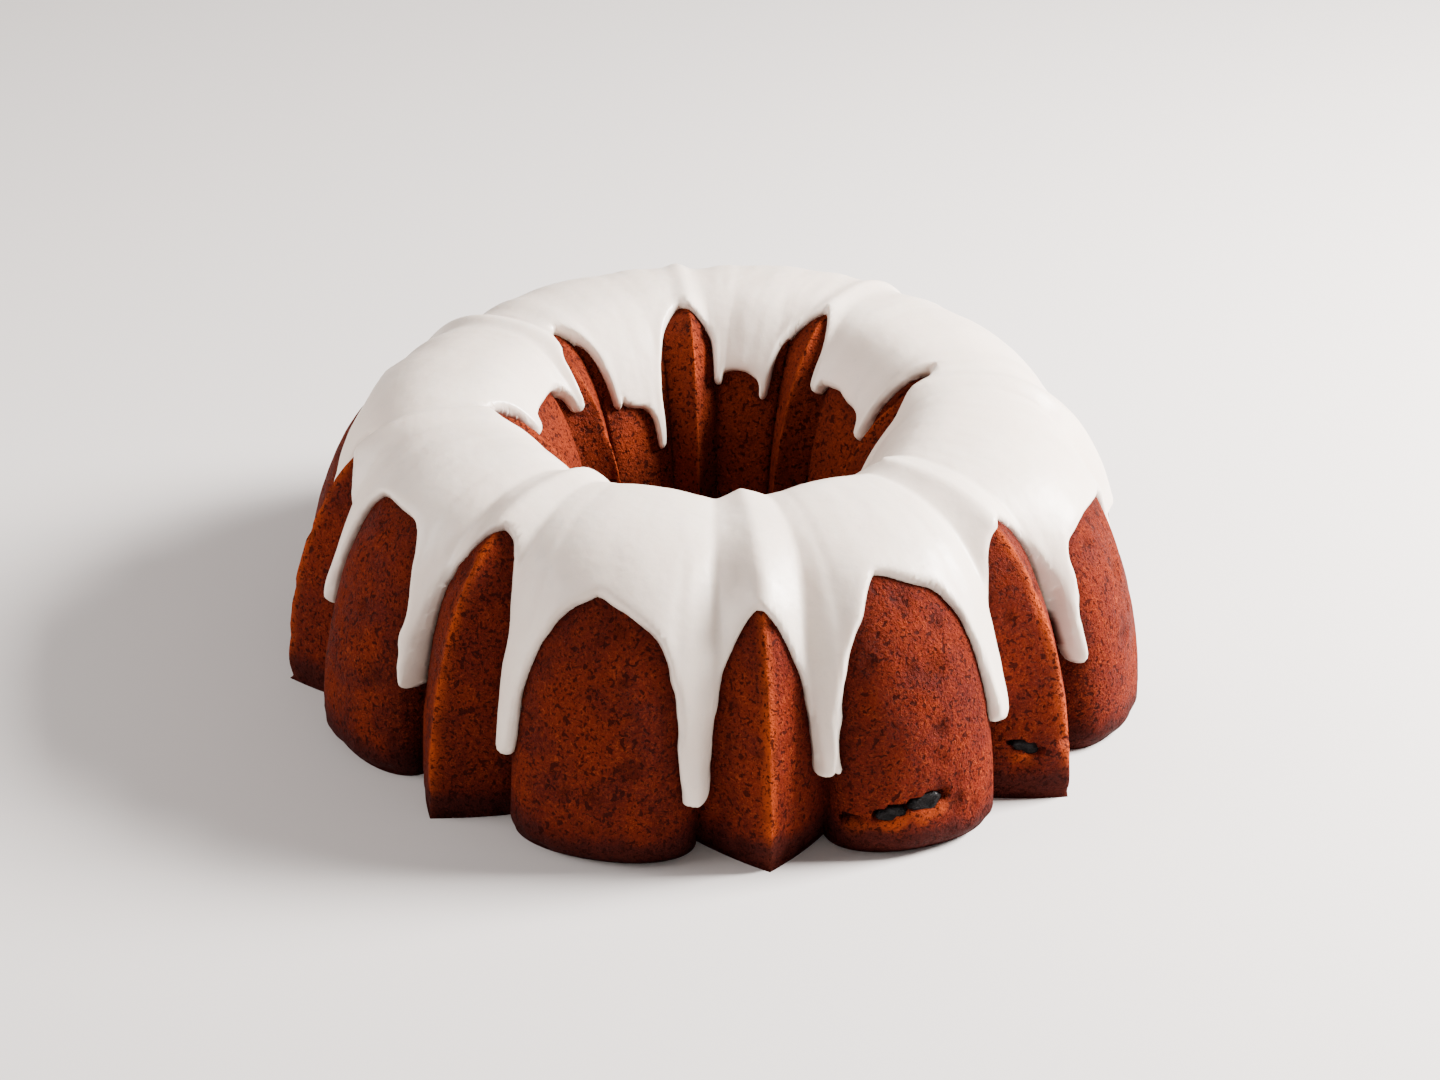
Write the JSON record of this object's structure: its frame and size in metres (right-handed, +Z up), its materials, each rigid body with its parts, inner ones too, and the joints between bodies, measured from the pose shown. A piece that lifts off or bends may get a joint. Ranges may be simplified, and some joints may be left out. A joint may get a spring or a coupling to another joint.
{
  "type": "lemon cake",
  "caption": "Ring cake from a fluted tin, with pointed and round flutes, white icing run down its grooves and burst berries in its crust.",
  "frame": {"origin": "middle of the flat base", "axes": "+Z up through the hole, -Y towards the front, where a pointed flute stands"},
  "size_m": [0.2593, 0.2648, 0.0924],
  "materials": {
    "sponge": "matt baked crust, red-brown",
    "icing": "set white icing with a soft sheen",
    "berry": "dark burst berry skin, moist"
  },
  "bodies": {
    "root": {"sponge": "sponge", "icing": "icing", "berry_1": "berry", "berry_2": "berry", "berry_3": "berry", "berry_4": "berry", "berry_5": "berry", "berry_6": "berry"}
  },
  "joints": []
}
